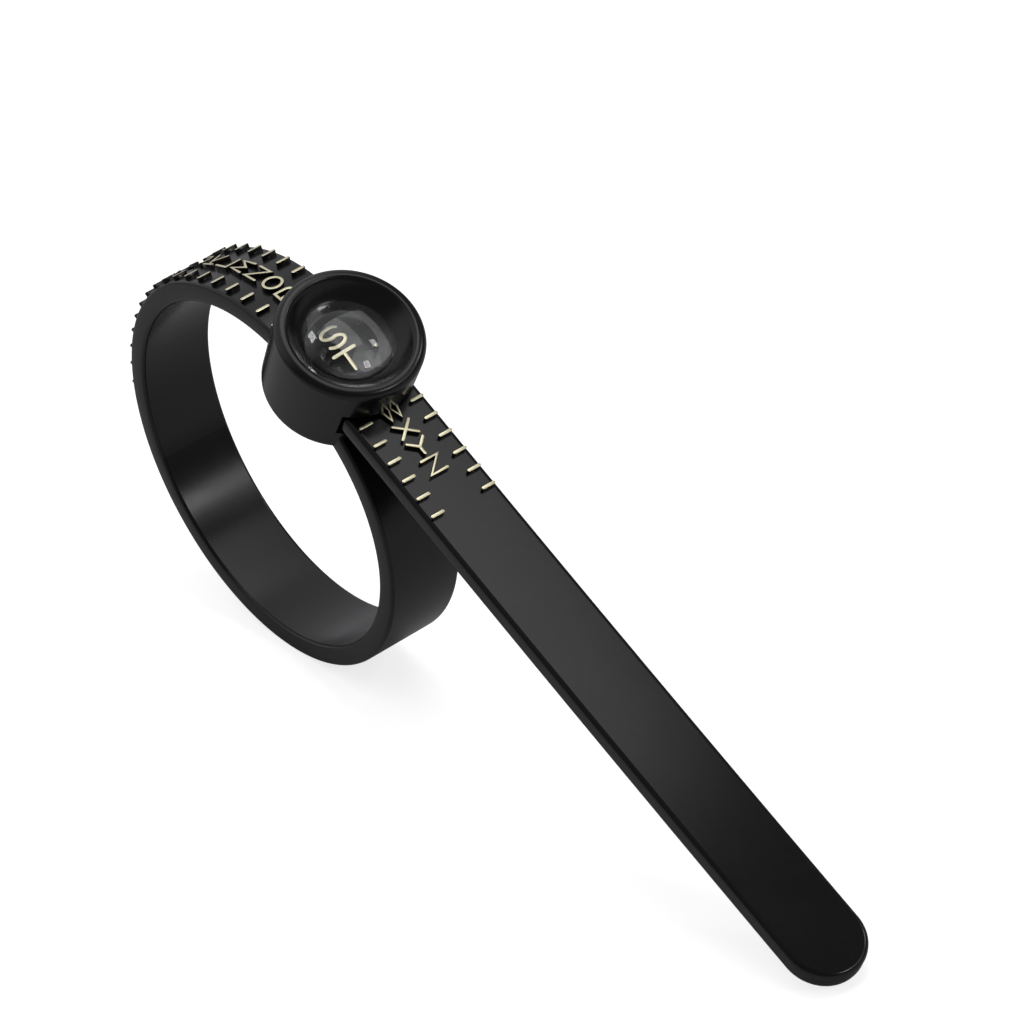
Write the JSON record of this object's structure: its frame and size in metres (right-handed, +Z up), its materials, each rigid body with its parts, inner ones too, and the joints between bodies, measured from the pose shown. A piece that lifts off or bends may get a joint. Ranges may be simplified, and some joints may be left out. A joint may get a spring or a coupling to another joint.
{
  "type": "ring sizing gauge",
  "caption": "Belt-type finger ring gauge: a plastic strap marked with letter sizes loops back through a round head with a domed magnifier, and its tail slides to set the loop.",
  "frame": {"origin": "on the table, under the middle of the gauge's bounding box, as it stands on its loop and the tip of its tail", "axes": "+Z up; +X along the tail from the loop towards its tip; +Y across the strap, along the axis of the finger in the loop"},
  "size_m": [0.0562, 0.0082, 0.0253],
  "materials": {
    "black_plastic": "satin moulded black",
    "clear_lens": "clear polished acrylic",
    "gold_foil_marks": "pale gold foil on raised marks"
  },
  "bodies": {
    "head": {"magnifier_head": "black_plastic", "magnifier_lens": "clear_lens"},
    "stretch_1": {"strap_stretch_1": "black_plastic"},
    "stretch_2": {"strap_stretch_2": "black_plastic"},
    "stretch_3": {"strap_stretch_3": "black_plastic"},
    "stretch_4": {"strap_stretch_4": "black_plastic"},
    "stretch_5": {"strap_stretch_5": "black_plastic"},
    "stretch_6": {"strap_stretch_6": "black_plastic", "size_marks_stretch_6": "gold_foil_marks"},
    "stretch_7": {"strap_stretch_7": "black_plastic", "size_marks_stretch_7": "gold_foil_marks"},
    "stretch_8": {"strap_stretch_8": "black_plastic", "size_marks_stretch_8": "gold_foil_marks"},
    "tail": {"strap_tail": "black_plastic", "size_marks_tail": "gold_foil_marks"}
  },
  "joints": [
    {"name": "strap_hinge_1", "type": "hinge", "parent": "head", "child": "stretch_1", "pos_m": [-0.00657, 0, 0.01581], "axis": [0, -1, 0], "range_deg": [-13.78, 3.36]},
    {"name": "strap_hinge_2", "type": "hinge", "parent": "stretch_1", "child": "stretch_2", "pos_m": [-0.00569, 0, 0.00824], "axis": [0, -1, 0], "range_deg": [-5.1, 1.25]},
    {"name": "strap_hinge_3", "type": "hinge", "parent": "stretch_2", "child": "stretch_3", "pos_m": [-0.01042, 0, 0.00221], "axis": [0, -1, 0], "range_deg": [-1.93, 7.88]},
    {"name": "strap_hinge_4", "type": "hinge", "parent": "stretch_3", "child": "stretch_4", "pos_m": [-0.01795, 0, 0.00075], "axis": [0, -1, 0], "range_deg": [-3.45, 14.1]},
    {"name": "strap_hinge_5", "type": "hinge", "parent": "stretch_4", "child": "stretch_5", "pos_m": [-0.02463, 0, 0.00454], "axis": [0, -1, 0], "range_deg": [-2.67, 10.9]},
    {"name": "strap_hinge_6", "type": "hinge", "parent": "stretch_5", "child": "stretch_6", "pos_m": [-0.02722, 0, 0.01176], "axis": [0, -1, 0], "range_deg": [-0.81, 3.29]},
    {"name": "strap_hinge_7", "type": "hinge", "parent": "stretch_6", "child": "stretch_7", "pos_m": [-0.0247, 0, 0.01867], "axis": [0, -1, 0], "range_deg": [-3.35, 0.83]},
    {"name": "strap_hinge_8", "type": "hinge", "parent": "stretch_7", "child": "stretch_8", "pos_m": [-0.01841, 0, 0.02249], "axis": [0, -1, 0], "range_deg": [-6.81, 1.67]},
    {"name": "strap_hinge_9", "type": "hinge", "parent": "stretch_8", "child": "tail", "pos_m": [-0.01111, 0, 0.02153], "axis": [0, -1, 0], "range_deg": [-7.14, 1.75]}
  ],
  "couplings": [
    {"joint": "strap_hinge_2", "follows": "strap_hinge_1", "ratio": 0.369},
    {"joint": "strap_hinge_3", "follows": "strap_hinge_1", "ratio": -0.571},
    {"joint": "strap_hinge_4", "follows": "strap_hinge_1", "ratio": -1.022},
    {"joint": "strap_hinge_5", "follows": "strap_hinge_1", "ratio": -0.79},
    {"joint": "strap_hinge_6", "follows": "strap_hinge_1", "ratio": -0.238},
    {"joint": "strap_hinge_7", "follows": "strap_hinge_1", "ratio": 0.242},
    {"joint": "strap_hinge_8", "follows": "strap_hinge_1", "ratio": 0.493},
    {"joint": "strap_hinge_9", "follows": "strap_hinge_1", "ratio": 0.517}
  ]
}
